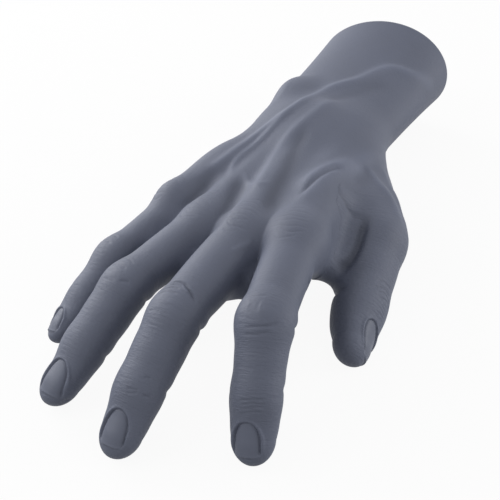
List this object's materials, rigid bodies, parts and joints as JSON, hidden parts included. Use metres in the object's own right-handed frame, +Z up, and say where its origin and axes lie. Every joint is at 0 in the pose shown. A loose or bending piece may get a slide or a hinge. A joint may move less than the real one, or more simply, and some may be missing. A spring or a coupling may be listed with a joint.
{
  "type": "mannequin hand",
  "caption": "Posable right hand in soft grey silicone cast round a hinged metal armature, palm down, with a flat plate in its cut wrist.",
  "frame": {"origin": "on the table, under the middle of the hand's bounding box", "axes": "+X towards the thumb's side, +Y from the fingers towards the forearm, +Z up from the table, out of the back of the hand"},
  "size_m": [0.121, 0.27, 0.049],
  "materials": {
    "silicone": "matte blue-grey silicone with a fine skin texture",
    "links": "brushed aluminium",
    "pins": "turned steel",
    "plate": "fine-grained moulded plastic"
  },
  "bodies": {
    "palm": {"palm_flesh": "silicone", "palm_plate": "links", "wrist_post": "pins", "wrist_plate": "plate", "index_knuckle_sleeve": "silicone", "index_knuckle_pin": "pins", "middle_knuckle_sleeve": "silicone", "middle_knuckle_pin": "pins", "ring_knuckle_sleeve": "silicone", "ring_knuckle_pin": "pins", "little_knuckle_sleeve": "silicone", "little_knuckle_pin": "pins", "thumb_knuckle_sleeve": "silicone", "thumb_knuckle_pin": "pins"},
    "index_lower": {"index_lower_flesh": "silicone", "index_lower_link": "links", "index_middle_sleeve": "silicone", "index_middle_pin": "pins"},
    "index_middle": {"index_middle_flesh": "silicone", "index_middle_link": "links", "index_end_sleeve": "silicone", "index_end_pin": "pins"},
    "index_tip": {"index_tip_flesh": "silicone", "index_tip_link": "links"},
    "middle_lower": {"middle_lower_flesh": "silicone", "middle_lower_link": "links", "middle_middle_sleeve": "silicone", "middle_middle_pin": "pins"},
    "middle_middle": {"middle_middle_flesh": "silicone", "middle_middle_link": "links", "middle_end_sleeve": "silicone", "middle_end_pin": "pins"},
    "middle_tip": {"middle_tip_flesh": "silicone", "middle_tip_link": "links"},
    "ring_lower": {"ring_lower_flesh": "silicone", "ring_lower_link": "links", "ring_middle_sleeve": "silicone", "ring_middle_pin": "pins"},
    "ring_middle": {"ring_middle_flesh": "silicone", "ring_middle_link": "links", "ring_end_sleeve": "silicone", "ring_end_pin": "pins"},
    "ring_tip": {"ring_tip_flesh": "silicone", "ring_tip_link": "links"},
    "little_lower": {"little_lower_flesh": "silicone", "little_lower_link": "links", "little_middle_sleeve": "silicone", "little_middle_pin": "pins"},
    "little_middle": {"little_middle_flesh": "silicone", "little_middle_link": "links", "little_end_sleeve": "silicone", "little_end_pin": "pins"},
    "little_tip": {"little_tip_flesh": "silicone", "little_tip_link": "links"},
    "thumb_lower": {"thumb_lower_flesh": "silicone", "thumb_lower_link": "links", "thumb_end_sleeve": "silicone", "thumb_end_pin": "pins"},
    "thumb_tip": {"thumb_tip_flesh": "silicone", "thumb_tip_link": "links"}
  },
  "joints": [
    {"name": "index_knuckle_hinge", "type": "hinge", "parent": "palm", "child": "index_lower", "pos_m": [0.02137, -0.03464, 0.03817], "axis": [0.9731, 0.1793, 0.145], "range_deg": [-10, 30], "deforming": ["index_knuckle_sleeve"]},
    {"name": "index_middle_hinge", "type": "hinge", "parent": "index_lower", "child": "index_middle", "pos_m": [0.02984, -0.07964, 0.03697], "axis": [0.9731, 0.1793, 0.145], "range_deg": [-35, 35], "deforming": ["index_middle_sleeve"]},
    {"name": "index_end_hinge", "type": "hinge", "parent": "index_middle", "child": "index_tip", "pos_m": [0.03588, -0.09884, 0.0202], "axis": [0.9731, 0.1793, 0.145], "range_deg": [-5, 30], "deforming": ["index_end_sleeve"]},
    {"name": "middle_knuckle_hinge", "type": "hinge", "parent": "palm", "child": "middle_lower", "pos_m": [0.00137, -0.03705, 0.03542], "axis": [0.9837, -0.1047, 0.1459], "range_deg": [-10, 30], "deforming": ["middle_knuckle_sleeve"]},
    {"name": "middle_middle_hinge", "type": "hinge", "parent": "middle_lower", "child": "middle_middle", "pos_m": [-0.00332, -0.08657, 0.03151], "axis": [0.9837, -0.1047, 0.1459], "range_deg": [-20, 45], "deforming": ["middle_middle_sleeve"]},
    {"name": "middle_end_hinge", "type": "hinge", "parent": "middle_middle", "child": "middle_tip", "pos_m": [-0.00402, -0.11298, 0.01729], "axis": [0.9837, -0.1047, 0.1459], "range_deg": [-5, 30], "deforming": ["middle_end_sleeve"]},
    {"name": "ring_knuckle_hinge", "type": "hinge", "parent": "palm", "child": "ring_lower", "pos_m": [-0.01939, -0.03195, 0.02955], "axis": [0.9209, -0.268, 0.2831], "range_deg": [-10, 30], "deforming": ["ring_knuckle_sleeve"]},
    {"name": "ring_middle_hinge", "type": "hinge", "parent": "ring_lower", "child": "ring_middle", "pos_m": [-0.03148, -0.07636, 0.02685], "axis": [0.9209, -0.268, 0.2831], "range_deg": [-20, 45], "deforming": ["ring_middle_sleeve"]},
    {"name": "ring_end_hinge", "type": "hinge", "parent": "ring_middle", "child": "ring_tip", "pos_m": [-0.03518, -0.10149, 0.01508], "axis": [0.9209, -0.268, 0.2831], "range_deg": [-5, 30], "deforming": ["ring_end_sleeve"]},
    {"name": "little_knuckle_hinge", "type": "hinge", "parent": "palm", "child": "little_lower", "pos_m": [-0.03926, -0.02298, 0.02468], "axis": [0.8489, -0.309, 0.4288], "range_deg": [-10, 30], "deforming": ["little_knuckle_sleeve"]},
    {"name": "little_middle_hinge", "type": "hinge", "parent": "little_lower", "child": "little_middle", "pos_m": [-0.04941, -0.0574, 0.01996], "axis": [0.8489, -0.309, 0.4288], "range_deg": [-15, 45], "deforming": ["little_middle_sleeve"]},
    {"name": "little_end_hinge", "type": "hinge", "parent": "little_middle", "child": "little_tip", "pos_m": [-0.05222, -0.07561, 0.01242], "axis": [0.8489, -0.309, 0.4288], "range_deg": [-5, 30], "deforming": ["little_end_sleeve"]},
    {"name": "thumb_knuckle_hinge", "type": "hinge", "parent": "palm", "child": "thumb_lower", "pos_m": [0.04426, 0.00108, 0.01981], "axis": [0.4057, 0.292, -0.8661], "range_deg": [-20, 25], "deforming": ["thumb_knuckle_sleeve"]},
    {"name": "thumb_end_hinge", "type": "hinge", "parent": "thumb_lower", "child": "thumb_tip", "pos_m": [0.04913, -0.03105, 0.01126], "axis": [0.4057, 0.292, -0.8661], "range_deg": [-10, 35], "deforming": ["thumb_end_sleeve"]}
  ]
}
